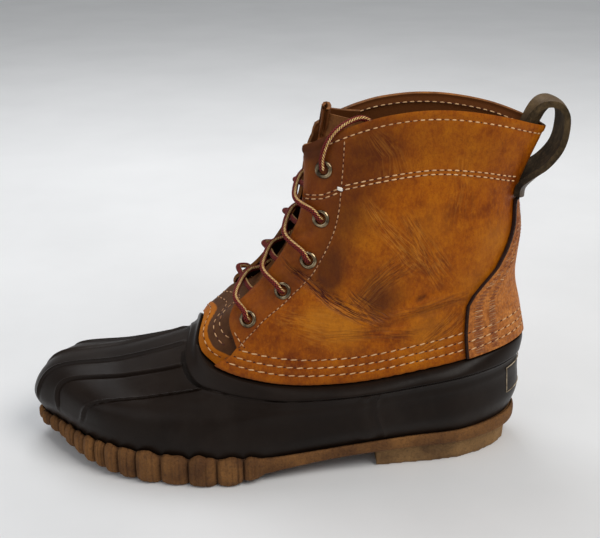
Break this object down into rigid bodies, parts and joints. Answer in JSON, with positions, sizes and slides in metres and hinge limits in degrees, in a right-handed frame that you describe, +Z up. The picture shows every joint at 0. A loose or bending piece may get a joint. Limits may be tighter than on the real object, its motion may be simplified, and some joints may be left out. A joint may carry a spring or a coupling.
{
  "type": "duck boot",
  "caption": "Ankle-high laced duck boot: hollow rubber shell on a lugged gum sole, sewn leather shaft, gusset tongue, back stay and pull loop.",
  "frame": {"origin": "on the floor, in the middle of the heel's tread", "axes": "+Z up; the toe points to -X, the outer side of this left boot to -Y"},
  "size_m": [0.3187, 0.1162, 0.216],
  "materials": {
    "gum_rubber": "matte tan gum rubber, worn",
    "brown_rubber": "satin dark brown moulded rubber",
    "insole_felt": "plain brown fibre board",
    "shaft_leather": "oiled orange-tan leather with creases and cream stitching",
    "tongue_leather": "soft brown leather",
    "stay_leather": "red-brown pebbled leather with dark cut edges",
    "eyelet_brass": "antique brass, dark with a bright rim",
    "lace_cord": "round braided cord, maroon with a gold fleck"
  },
  "bodies": {
    "root": {"outsole": "gum_rubber", "heel": "gum_rubber", "rubber_shell": "brown_rubber", "insole": "insole_felt", "shaft": "shaft_leather", "tongue": "tongue_leather", "back_stay": "stay_leather", "pull_loop": "stay_leather", "eyelet_lateral_1": "eyelet_brass", "eyelet_lateral_2": "eyelet_brass", "eyelet_lateral_3": "eyelet_brass", "eyelet_lateral_4": "eyelet_brass", "eyelet_lateral_5": "eyelet_brass", "eyelet_medial_1": "eyelet_brass", "eyelet_medial_2": "eyelet_brass", "eyelet_medial_3": "eyelet_brass", "eyelet_medial_4": "eyelet_brass", "eyelet_medial_5": "eyelet_brass", "lace_crossing_1": "lace_cord", "lace_crossing_2": "lace_cord", "lace_crossing_3": "lace_cord", "lace_crossing_4": "lace_cord", "lace_end_lateral": "lace_cord"}
  },
  "joints": []
}
